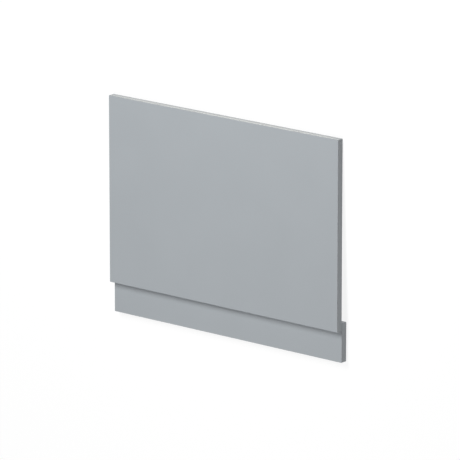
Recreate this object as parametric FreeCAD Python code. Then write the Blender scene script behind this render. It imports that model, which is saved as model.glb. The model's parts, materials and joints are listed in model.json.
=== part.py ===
"""Bath end panel: a finished board that closes the end of a bath, and a set-back plinth board behind it.

The pair lies on a level floor with its finished face up, at the slope it takes when nothing holds it:
the plinth's upper edge and the panel's top edge touch the floor, and the plinth end stands a little higher.
"""

import FreeCAD, Part
import math
import os

# Boards, in millimetres
BOARD_WIDTH = 730.0  # both boards are cut to one width
PANEL_HEIGHT = 480.0
PANEL_THICKNESS = 18.0
PLINTH_HEIGHT = 100.0
PLINTH_THICKNESS = 18.0
PLINTH_OVERLAP = 20.0  # strip of plinth that stands behind the panel's lower edge
CORNER_RADIUS = 2.0  # each board's four corners, seen from its face
ARRIS_RADIUS = 1.0  # softened edge round each face, less than the corners

# Countersunk screws that hold the plinth, driven from behind through the overlap
SCREW_COUNT = 4
SCREW_END_DISTANCE = 65.0  # from a board's end to the nearest screw
SCREW_HOLE_DIAMETER = 4.5  # clearance through the plinth
COUNTERSINK_DIAMETER = 9.0
COUNTERSINK_ANGLE = 90.0  # degrees, across the cone
PILOT_DIAMETER = 3.0  # where the thread bites into the panel
PILOT_COVER = 6.0  # panel left between a pilot hole and the finished face

# Board frame: X across the width, Y up the panel from its lower edge, Z out of its face from the joint
ACROSS = FreeCAD.Vector(1, 0, 0)
OUT_OF_FACE = FreeCAD.Vector(0, 0, 1)
ORIGIN = FreeCAD.Vector(0, 0, 0)


def board(height, thickness, lower_edge, back):
    """A cut board with eased corners and rounded arrises, placed by its lower edge (Y) and its back (Z)."""
    start = FreeCAD.Vector(-BOARD_WIDTH / 2, lower_edge, back)
    blank = Part.makeBox(BOARD_WIDTH, height, thickness, start)
    corners = [edge for edge in blank.Edges if edge.BoundBox.ZLength > thickness / 2]
    eased = blank.makeFillet(CORNER_RADIUS, corners)
    arrises = [edge for edge in eased.Edges if edge.BoundBox.ZLength < thickness / 2]
    return eased.makeFillet(ARRIS_RADIUS, arrises)


def drill(profile):
    """The solid that a drill sweeps: (radius, z) points, first and last on the axis, turned about Z."""
    points = [FreeCAD.Vector(radius, 0, z) for radius, z in profile]
    section = Part.Face(Part.makePolygon(points + points[:1]))
    return section.revolve(ORIGIN, OUT_OF_FACE, 360)


def screw_places():
    """The screws' centres, evenly spaced along the middle of the overlap."""
    run = BOARD_WIDTH - 2 * SCREW_END_DISTANCE
    pitch = run / (SCREW_COUNT - 1)
    return [FreeCAD.Vector(i * pitch - run / 2, PLINTH_OVERLAP / 2, 0) for i in range(SCREW_COUNT)]


def drilled(solid, tool):
    """The solid with the tool's shape taken out at every screw."""
    return solid.cut([tool.translated(place) for place in screw_places()])


def make_panel():
    """The finished board, with a blind pilot hole in its back for each screw."""
    radius = PILOT_DIAMETER / 2
    depth = PANEL_THICKNESS - PILOT_COVER
    pilot = drill([(0, 0), (radius, 0), (radius, depth), (0, depth)])
    return drilled(board(PANEL_HEIGHT, PANEL_THICKNESS, 0, 0), pilot)


def make_plinth():
    """The set-back board, flat against the panel's back, with a countersunk hole for each screw."""
    hole_radius = SCREW_HOLE_DIAMETER / 2
    sink_radius = COUNTERSINK_DIAMETER / 2
    sink_depth = (sink_radius - hole_radius) / math.tan(math.radians(COUNTERSINK_ANGLE / 2))
    back = -PLINTH_THICKNESS
    hole = drill(
        [(0, back), (sink_radius, back), (hole_radius, back + sink_depth), (hole_radius, 0), (0, 0)]
    )
    return drilled(board(PLINTH_HEIGHT, PLINTH_THICKNESS, PLINTH_OVERLAP - PLINTH_HEIGHT, back), hole)


def lay_down(pieces):
    """Slopes the pair as it rests face up on the floor, which is Z = 0, centred under its own box."""
    slope = math.degrees(math.atan2(PLINTH_THICKNESS, PANEL_HEIGHT - PLINTH_OVERLAP))
    laid = {name: solid.rotated(ORIGIN, ACROSS, -slope) for name, solid in pieces.items()}
    box = Part.makeCompound(list(laid.values())).optimalBoundingBox(False, False)
    to_floor = FreeCAD.Vector(-box.Center.x, -box.Center.y, -box.ZMin)
    return {name: solid.translated(to_floor) for name, solid in laid.items()}


os.makedirs("parts", exist_ok=True)
for node, solid in lay_down({"panel": make_panel(), "plinth": make_plinth()}).items():
    solid.exportStep(f"parts/{node}.step")
    print(node, "volume", round(solid.Volume), "mm3, valid", solid.isValid())
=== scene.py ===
"""A bath end panel lying face up on a studio floor: a satin grey board with a plinth screwed behind it."""

import json
import math

import bmesh
import bpy
from mathutils import Matrix, Vector


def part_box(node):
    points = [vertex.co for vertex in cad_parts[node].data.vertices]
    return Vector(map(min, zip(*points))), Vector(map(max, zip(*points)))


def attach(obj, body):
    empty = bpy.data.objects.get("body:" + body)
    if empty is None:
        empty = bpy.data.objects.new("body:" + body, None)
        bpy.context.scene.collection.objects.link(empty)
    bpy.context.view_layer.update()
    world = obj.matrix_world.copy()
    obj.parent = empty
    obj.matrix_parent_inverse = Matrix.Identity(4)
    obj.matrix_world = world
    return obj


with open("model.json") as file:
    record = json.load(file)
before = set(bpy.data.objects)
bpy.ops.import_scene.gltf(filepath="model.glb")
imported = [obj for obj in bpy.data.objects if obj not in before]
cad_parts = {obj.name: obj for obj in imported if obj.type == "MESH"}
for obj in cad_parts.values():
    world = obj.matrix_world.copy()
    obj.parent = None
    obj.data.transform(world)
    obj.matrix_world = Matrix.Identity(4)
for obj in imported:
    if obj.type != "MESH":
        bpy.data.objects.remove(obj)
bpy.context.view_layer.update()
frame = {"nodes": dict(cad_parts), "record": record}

# Panel: the board that shows on a fitted bath, sawn from 18 mm MDF with softened corners and arrises.
# It is sprayed all over with a satin lacquer before the plinth is screwed to its back.
LACQUER_GREY = "#9da2a6"  # the lacquer's own tone
LACQUER_THIN = "#999ea2"  # a shade darker, where the film is thinnest
CLOUD_SIZE = 0.120  # metres across one soft cloud in the film's thickness
CLOUD_OCTAVES = 2.0  # finer clouds within the large ones
GRAIN_SIZE = 0.0025  # flatting agent in the lacquer, drawn far coarser than its dust
GRAIN_OCTAVES = 3.0
PEEL_SIZE = 0.007  # spray ripple is nearer 2 mm, which is too fine to show at this distance
PEEL_OCTAVES = 1.0
PEEL_HEIGHT = 0.00014  # gives the coarser ripple the slopes of the real one
SATIN_SMOOTH = 0.40
SATIN_ROUGH = 0.50
LACQUER_IOR = 1.5


def linear(hex_colour):
    """An sRGB hex colour as the linear red, green, blue and alpha that a shader takes."""
    channels = [int(hex_colour[i:i + 2], 16) / 255 for i in (1, 3, 5)]
    return [c / 12.92 if c <= 0.04045 else ((c + 0.055) / 1.055) ** 2.4 for c in channels] + [1.0]


def add(tree, kind, inputs=None, **settings):
    """Adds a node. Settings go on the node itself, and an input is a value or another node's output."""
    node = tree.nodes.new(kind)
    for name, value in settings.items():
        setattr(node, name, value)
    for name, value in (inputs or {}).items():
        if isinstance(value, bpy.types.NodeSocket):
            tree.links.new(value, node.inputs[name])
        else:
            node.inputs[name].default_value = value
    return node


def bare_material(name):
    """A new material and its node tree, with no nodes in it."""
    material = bpy.data.materials.new(name)
    material.use_nodes = True
    material.node_tree.nodes.clear()
    return material, material.node_tree


def satin_lacquer_on_mdf():
    """Sprayed satin lacquer: an even grey with faint clouds, a slight orange peel and a soft sheen."""
    material, tree = bare_material("satin_lacquer_on_mdf")
    place = add(tree, "ShaderNodeTexCoord").outputs["Object"]
    clouds = add(
        tree,
        "ShaderNodeTexNoise",
        {"Vector": place, "Scale": 1 / CLOUD_SIZE, "Detail": CLOUD_OCTAVES},
    )
    grain = add(
        tree,
        "ShaderNodeTexNoise",
        {"Vector": place, "Scale": 1 / GRAIN_SIZE, "Detail": GRAIN_OCTAVES},
    )
    peel = add(
        tree,
        "ShaderNodeTexNoise",
        {"Vector": place, "Scale": 1 / PEEL_SIZE, "Detail": PEEL_OCTAVES},
    )
    tone = add(
        tree,
        "ShaderNodeMix",
        {"A": linear(LACQUER_GREY), "B": linear(LACQUER_THIN), "Factor": clouds.outputs["Fac"]},
        data_type="RGBA",
    )
    sheen = add(
        tree,
        "ShaderNodeMapRange",
        {"Value": grain.outputs["Fac"], "To Min": SATIN_SMOOTH, "To Max": SATIN_ROUGH},
    )
    ripple = add(tree, "ShaderNodeBump", {"Height": peel.outputs["Fac"], "Distance": PEEL_HEIGHT})
    lacquer = add(
        tree,
        "ShaderNodeBsdfPrincipled",
        {
            "Base Color": tone.outputs["Result"],
            "Roughness": sheen.outputs["Result"],
            "Normal": ripple.outputs["Normal"],
            "IOR": LACQUER_IOR,
        },
    )
    add(tree, "ShaderNodeOutputMaterial", {"Surface": lacquer.outputs["BSDF"]})
    return material


def finish_node(name, material):
    """Gives a CAD node one finish all over."""
    node = frame["nodes"][name]
    node.data.materials.clear()
    node.data.materials.append(material)


satin_lacquer = satin_lacquer_on_mdf()
finish_node("panel", satin_lacquer)

# Plinth: a second strip of the same board, as wide as the panel, which hides the gap above the floor.
# It is lacquered like the panel and set back by lying flat against the panel's back.
finish_node("plinth", satin_lacquer)

# Plinth screws: four 4 x 30 mm chipboard screws, headed and rolled from steel wire and then zinc-plated.
# Each goes in from behind, through the strip where the plinth overlaps the panel: its countersunk head
# lies just under the plinth's back, and its thread bites into the panel.
SCREW_COUNT = 4
SCREW_END_DISTANCE = 0.065  # from a board's end to the nearest screw
OVERLAP = 0.020  # the strip of plinth behind the panel's lower edge
COUNTERSINK_DIAMETER = 0.009  # of the plinth's holes, which have the same 90 degree cone as the head
HEAD_DIAMETER = 0.008
HEAD_RIM = 0.0003  # the head's straight side, above its cone
HEAD_EDGE = 0.0001  # the soft edge round its top
RECESS_ARMS = 4  # of the cross sunk in its top
RECESS_SPAN = 0.0046  # from the end of one arm to the end of the opposite one
RECESS_WIDTH = 0.0011  # of an arm
RECESS_DEPTH = 0.0021
RECESS_TAPER = 0.5  # the recess's floor, as a share of its mouth
SCREW_LENGTH = 0.0292  # a 30 mm screw is made up to a millimetre short
NECK_LENGTH = 0.0012  # plain stretch under the head
CORE_DIAMETER = 0.0026
THREAD_DIAMETER = 0.0040
THREAD_PITCH = 0.0018
THREAD_WIDTH = 0.0006  # of the ridge, at its foot
POINT_LENGTH = 0.0036
TURN_STEPS = 32  # flats in one turn
DRIVEN_TURN = math.radians(50)  # each screw stops this much further round than the last
ZINC_BRIGHT = "#cdd0d2"
ZINC_DULL = "#b4b8bc"
BLOOM_SIZE = 0.0012  # cloudy patches that passivating leaves in the plating
BLOOM_OCTAVES = 3.0
ZINC_SMOOTH = 0.26
ZINC_ROUGH = 0.42
SHARP_EDGE = math.radians(35)


def ring(mesh, diameter, height):
    """One turn of points about the screw's axis."""
    turns = [math.tau * step / TURN_STEPS for step in range(TURN_STEPS)]
    radius = diameter / 2
    return [mesh.verts.new((radius * math.cos(turn), radius * math.sin(turn), height)) for turn in turns]


def face(mesh, *corners):
    """A face on those corners, each taken once where some of them are the same point."""
    mesh.faces.new(tuple(dict.fromkeys(corners)))


def add_head(mesh):
    """The countersunk head with its cross recess, top at zero. Returns the ring at the foot of its neck."""
    cone = (HEAD_DIAMETER - CORE_DIAMETER) / 2
    neck = -HEAD_RIM - cone
    rings = [
        ring(mesh, CORE_DIAMETER, neck - NECK_LENGTH),
        ring(mesh, CORE_DIAMETER, neck),
        ring(mesh, HEAD_DIAMETER, -HEAD_RIM),
        ring(mesh, HEAD_DIAMETER, -HEAD_EDGE),
        ring(mesh, HEAD_DIAMETER - 2 * HEAD_EDGE, 0),
    ]
    # the outside, from the neck up to the rim
    for lower, upper in zip(rings, rings[1:]):
        for step in range(TURN_STEPS):
            face(mesh, lower[step - 1], lower[step], upper[step], upper[step - 1])
    # the recess, which tapers from its mouth to its floor
    arm = RECESS_SPAN / 2
    side = RECESS_WIDTH / 2
    outline = []
    for number in range(RECESS_ARMS):
        turned = Matrix.Rotation(number * math.tau / RECESS_ARMS, 2)
        outline += [turned @ Vector(corner) for corner in ((arm, -side), (arm, side), (side, side))]
    mouth = [mesh.verts.new((*corner, 0)) for corner in outline]
    bottom = [mesh.verts.new((*corner * RECESS_TAPER, -RECESS_DEPTH)) for corner in outline]
    for step in range(len(outline)):
        face(mesh, mouth[step - 1], bottom[step - 1], bottom[step], mouth[step])
    face(mesh, *bottom)
    # the flat top, between the rim and the mouth of the recess
    open_edges = []
    for loop in (rings[-1], mouth):
        open_edges += [mesh.edges.get((loop[step - 1], loop[step])) for step in range(len(loop))]
    bmesh.ops.triangle_fill(mesh, use_beauty=True, edges=open_edges)
    return rings[0]


def add_thread(mesh, neck):
    """The point and the thread, wound up from the tip. Its ridge grows in and fades out over one turn."""
    tip = -SCREW_LENGTH
    last = int((neck[0].co.z - tip) / THREAD_PITCH) * TURN_STEPS
    ridge = (THREAD_DIAMETER - CORE_DIAMETER) / 2
    wound = []
    for step in range(last + 1):
        turn = math.tau * step / TURN_STEPS
        climb = THREAD_PITCH * step / TURN_STEPS
        core = CORE_DIAMETER / 2 * min(climb / POINT_LENGTH, 1)
        growth = min(step / TURN_STEPS, (last - step) / TURN_STEPS, 1)
        foot = THREAD_WIDTH * growth
        section = [(core, 0), (core + ridge * growth, foot / 2), (core, foot)] if growth else [(core, 0)]
        points = [
            mesh.verts.new((radius * math.cos(turn), radius * math.sin(turn), tip + climb + rise))
            for radius, rise in section
        ]
        wound.append((points[0], points[len(points) // 2], points[-1]))
    # the ridge's two flanks
    for (low, crest, high), (next_low, next_crest, next_high) in zip(wound, wound[1:]):
        face(mesh, low, next_low, next_crest, crest)
        face(mesh, crest, next_crest, next_high, high)
    # the core, from one turn of the ridge up to the next
    for step in range(last - TURN_STEPS):
        above = step + TURN_STEPS
        face(mesh, wound[step][2], wound[step + 1][2], wound[above + 1][0], wound[above][0])
    # the tip, closed under the first turn
    for step in range(1, TURN_STEPS):
        face(mesh, wound[0][0], wound[step + 1][0], wound[step][0])
    # the last turn, joined to the neck
    first = last - TURN_STEPS
    face(mesh, wound[first][2], wound[first + 1][2], neck[1], neck[0], wound[last][0])
    for step in range(1, TURN_STEPS):
        below = wound[first + step][2]
        next_below = wound[first + step + 1][2]
        face(mesh, below, next_below, neck[(step + 1) % TURN_STEPS], neck[step])


def zinc_plate_on_steel():
    """Bright zinc with a clear passivation: a cool grey metal, a little cloudy, with a soft shine."""
    material, tree = bare_material("zinc_plate_on_steel")
    place = add(tree, "ShaderNodeTexCoord").outputs["Object"]
    bloom = add(
        tree,
        "ShaderNodeTexNoise",
        {"Vector": place, "Scale": 1 / BLOOM_SIZE, "Detail": BLOOM_OCTAVES},
    )
    tone = add(
        tree,
        "ShaderNodeMix",
        {"A": linear(ZINC_BRIGHT), "B": linear(ZINC_DULL), "Factor": bloom.outputs["Fac"]},
        data_type="RGBA",
    )
    shine = add(
        tree,
        "ShaderNodeMapRange",
        {"Value": bloom.outputs["Fac"], "To Min": ZINC_SMOOTH, "To Max": ZINC_ROUGH},
    )
    zinc = add(
        tree,
        "ShaderNodeBsdfPrincipled",
        {"Base Color": tone.outputs["Result"], "Roughness": shine.outputs["Result"], "Metallic": 1.0},
    )
    add(tree, "ShaderNodeOutputMaterial", {"Surface": zinc.outputs["BSDF"]})
    return material


screw_form = bmesh.new()
add_thread(screw_form, add_head(screw_form))
bmesh.ops.recalc_face_normals(screw_form, faces=screw_form.faces)
screw_mesh = bpy.data.meshes.new("plinth_screw")
screw_form.to_mesh(screw_mesh)
screw_form.free()
screw_mesh.shade_smooth()
screw_mesh.set_sharp_from_angle(angle=SHARP_EDGE)
screw_mesh.materials.append(zinc_plate_on_steel())

mounts = {mount["name"]: mount for mount in frame["record"]["mounts"]}
across = Vector((1, 0, 0))
up_panel = Vector(mounts["rim_edge"]["axis"])
out_of_face = across.cross(up_panel)
plinth_back = Vector(mounts["plinth_back"]["pos_m"])
half_plinth = (plinth_back - Vector(mounts["floor_edge"]["pos_m"])).dot(up_panel)
head_sink = (COUNTERSINK_DIAMETER - HEAD_DIAMETER) / 2 - HEAD_RIM
screw_line = plinth_back + up_panel * (half_plinth - OVERLAP / 2) + out_of_face * head_sink
screw_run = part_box("plinth")[1].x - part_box("plinth")[0].x - 2 * SCREW_END_DISTANCE
facing_back = Matrix((across, -up_panel, -out_of_face)).transposed().to_4x4()
for number in range(SCREW_COUNT):
    screw = bpy.data.objects.new(f"plinth_screw_{number + 1}", screw_mesh.copy())
    along = across * screw_run * (number / (SCREW_COUNT - 1) - 0.5)
    driven = Matrix.Rotation(number * DRIVEN_TURN, 4, "Z")
    screw.matrix_world = Matrix.Translation(screw_line + along) @ facing_back @ driven
    bpy.context.scene.collection.objects.link(screw)
    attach(screw, "root")

# Studio: a plain floor of opal acrylic, lit from below, which fades into a room as pale as its far end.
# Two soft boxes light the face and the plinth. A warm strip lamp, let into the floor, lights the top edge.
# Little more than the floor's own glow reaches the two ends, so they are the darkest sides.
FLOOR_TONE = "#676767"  # a thin opal sheet sends back a seventh of the light and lets the rest through
FLOOR_GLOW = 0.855
FLOOR_RADIUS = 40.0
FLOOR_SIDES = 96
FLOOR_ROUGHNESS = 0.9
FLOOR_GLOSS = 0.1
ROOM_PALE = "#eeeeee"
EVEN_WHITE = "#ffffff"
LAMP_WARM = "#fff0d8"
# name, centre, aim, width and height in metres, watts, colour
LAMPS = (
    ("slanting", (-0.15, 2.12, 2.65), (0.0, 0.0, 0.0), 1.0, 1.6, 105.0, EVEN_WHITE),
    ("before", (-0.3, -2.7, 6.4), (0.0, 0.0, 0.0), 1.2, 2.4, 264.0, EVEN_WHITE),
    ("floor_strip", (0.0, 0.48, 0.002), (0.0, 0.48, 1.0), 0.72, 0.36, 2.2, LAMP_WARM),
)

disc = bmesh.new()
bmesh.ops.create_circle(disc, cap_ends=True, segments=FLOOR_SIDES, radius=FLOOR_RADIUS)
floor_mesh = bpy.data.meshes.new("floor")
disc.to_mesh(floor_mesh)
disc.free()
floor = bpy.data.objects.new("floor", floor_mesh)
bpy.context.scene.collection.objects.link(floor)
lit_acrylic, acrylic_tree = bare_material("lit_acrylic")
acrylic = add(
    acrylic_tree,
    "ShaderNodeBsdfPrincipled",
    {
        "Base Color": linear(FLOOR_TONE),
        "Roughness": FLOOR_ROUGHNESS,
        "Specular IOR Level": FLOOR_GLOSS,
        "Emission Color": linear(EVEN_WHITE),
        "Emission Strength": FLOOR_GLOW,
    },
)
add(acrylic_tree, "ShaderNodeOutputMaterial", {"Surface": acrylic.outputs["BSDF"]})
floor_mesh.materials.append(lit_acrylic)

# The room only shows: it gives no light of its own.
room = bpy.data.worlds.new("room")
room.use_nodes = True
room.node_tree.nodes.clear()
seen = add(room.node_tree, "ShaderNodeLightPath").outputs["Is Camera Ray"]
wall = add(room.node_tree, "ShaderNodeBackground", {"Color": linear(ROOM_PALE), "Strength": seen})
add(room.node_tree, "ShaderNodeOutputWorld", {"Surface": wall.outputs["Background"]})
bpy.context.scene.world = room

for name, centre, aim, width, height, watts, colour in LAMPS:
    light = bpy.data.lights.new(name, "AREA")
    light.shape = "RECTANGLE"
    light.size = width
    light.size_y = height
    light.energy = watts
    light.color = linear(colour)[:3]
    lamp = bpy.data.objects.new(name, light)
    lamp.location = centre
    lamp.rotation_euler = (Vector(aim) - Vector(centre)).to_track_quat("-Z", "Y").to_euler()
    lamp.visible_camera = False
    bpy.context.scene.collection.objects.link(lamp)

# Camera: a long lens far away, to the right of a fitted panel's face and a little above it.
# The panel lies on its back here, so the same line of sight is turned with its face and looks down.
LOOK_RIGHT = math.radians(39.97)  # from the face's normal, towards the right-hand end
LOOK_UP = math.radians(14.73)  # from the face's normal, towards the top edge
LOOK_AT_ACROSS = 0.0273  # where the middle of the picture meets the face: from the panel's middle
LOOK_AT_DOWN = 0.2799  # and down from its top edge
HALF_BOARD = 0.009  # from the middle of the top edge to the face
CAMERA_DISTANCE = 12.98
CAMERA_LENS = 415.2  # millimetres, on the sensor's width
CAMERA_SENSOR = 36.0
CAMERA_REACH = 100.0

face_top = Vector(mounts["rim_edge"]["pos_m"]) + out_of_face * HALF_BOARD
towards_camera = (
    across * math.sin(LOOK_RIGHT) * math.cos(LOOK_UP)
    + out_of_face * math.cos(LOOK_RIGHT) * math.cos(LOOK_UP)
    + up_panel * math.sin(LOOK_UP)
)
picture_right = (across * math.cos(LOOK_RIGHT) - out_of_face * math.sin(LOOK_RIGHT)).normalized()
picture_up = towards_camera.cross(picture_right)
look_at = face_top + across * LOOK_AT_ACROSS - up_panel * LOOK_AT_DOWN
sight = Matrix((picture_right, picture_up, towards_camera)).transposed().to_4x4()
camera = bpy.data.objects.new("camera", bpy.data.cameras.new("camera"))
camera.data.lens = CAMERA_LENS
camera.data.sensor_width = CAMERA_SENSOR
camera.data.clip_end = CAMERA_REACH
camera.matrix_world = Matrix.Translation(look_at + towards_camera * CAMERA_DISTANCE) @ sight
bpy.context.scene.collection.objects.link(camera)
bpy.context.scene.camera = camera
bpy.context.scene.view_settings.view_transform = "Standard"
